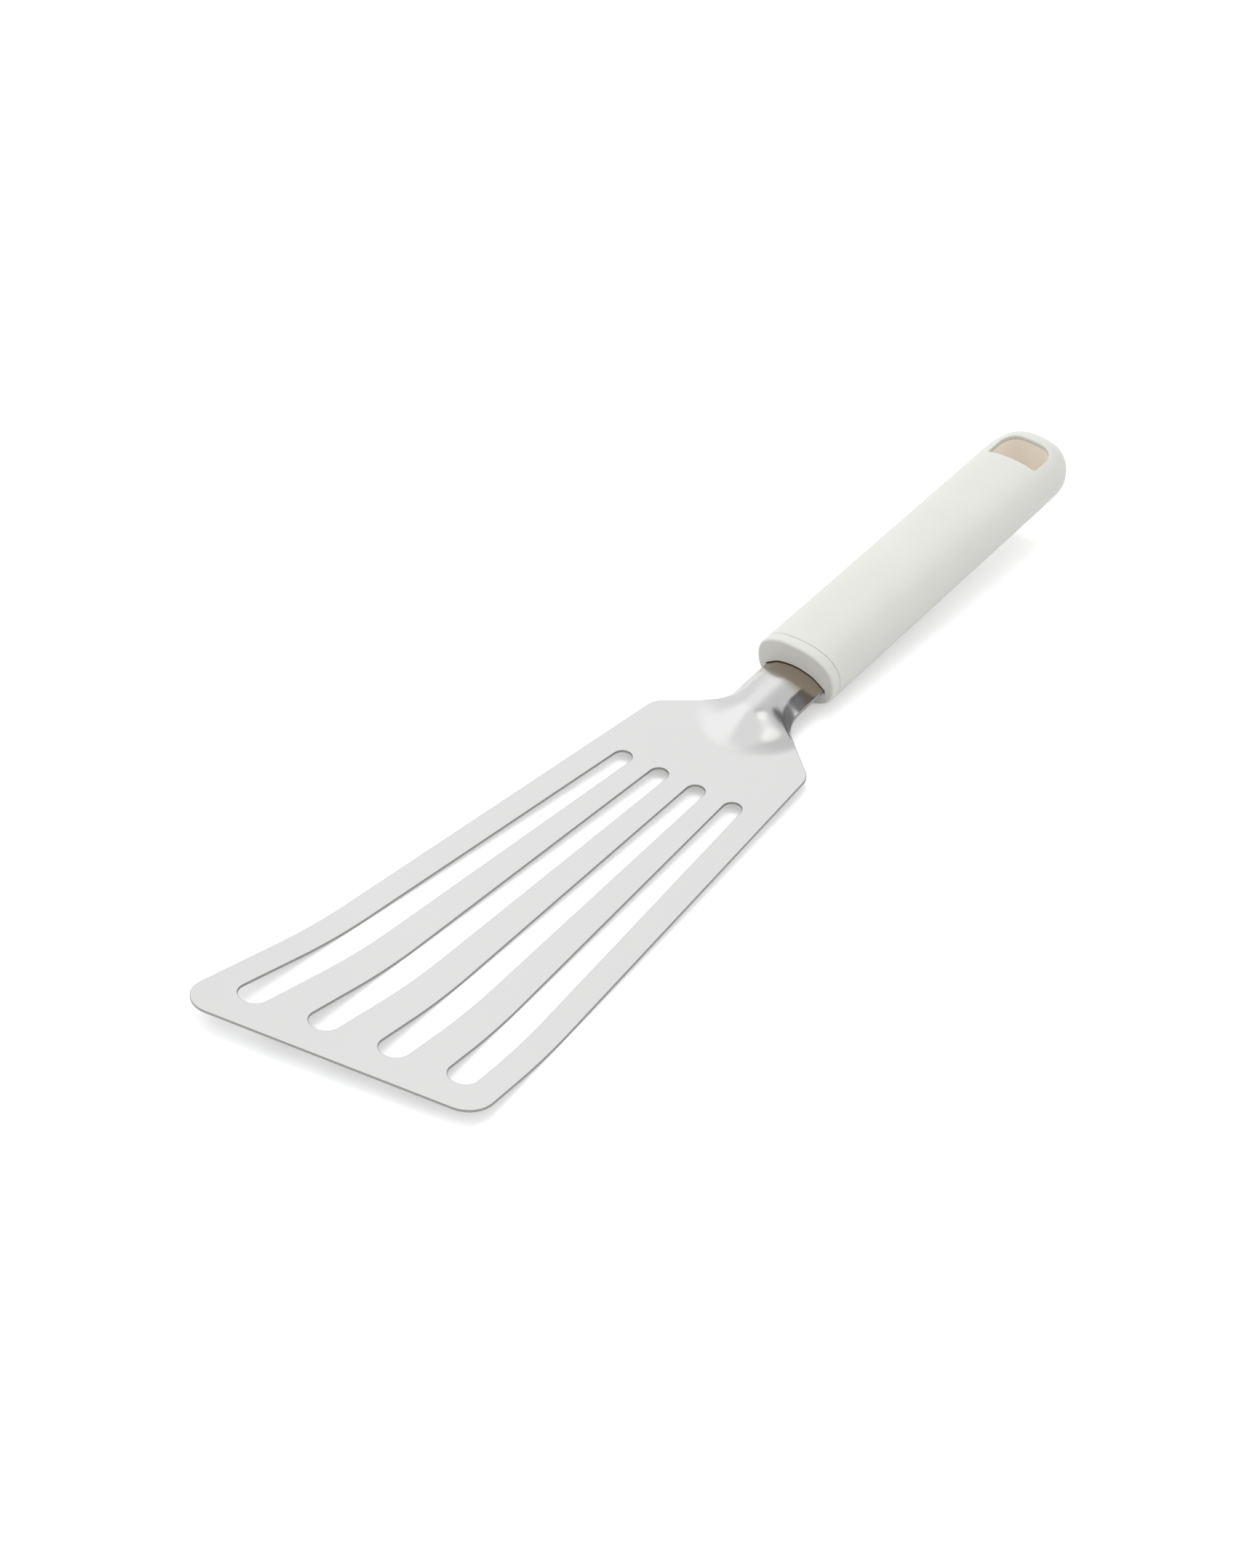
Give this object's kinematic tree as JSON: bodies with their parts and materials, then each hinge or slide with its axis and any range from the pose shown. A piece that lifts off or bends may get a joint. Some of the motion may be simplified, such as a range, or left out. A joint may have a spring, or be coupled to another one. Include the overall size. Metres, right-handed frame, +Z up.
{
  "type": "turner",
  "caption": "Slotted kitchen turner: a thin stamped blade with a slanted, upturned front edge, on a drawn neck held in an oval moulded handle with a hanging hole.",
  "frame": {"origin": "on the table, at the middle of the bounding box, with the turner lying at rest, face up", "axes": "+X along the turner from the handle's tail to the blade's tip, +Z up from the table, +Y across the blade to its shorter side"},
  "size_m": [0.3284, 0.0842, 0.0262],
  "materials": {
    "steel": "satin polished stainless",
    "shell": "smooth, low gloss off-white",
    "core": "smooth, low gloss beige"
  },
  "bodies": {
    "root": {"blade": "steel", "handle_core": "core", "handle_grip": "shell", "front_collar": "shell"}
  },
  "joints": []
}
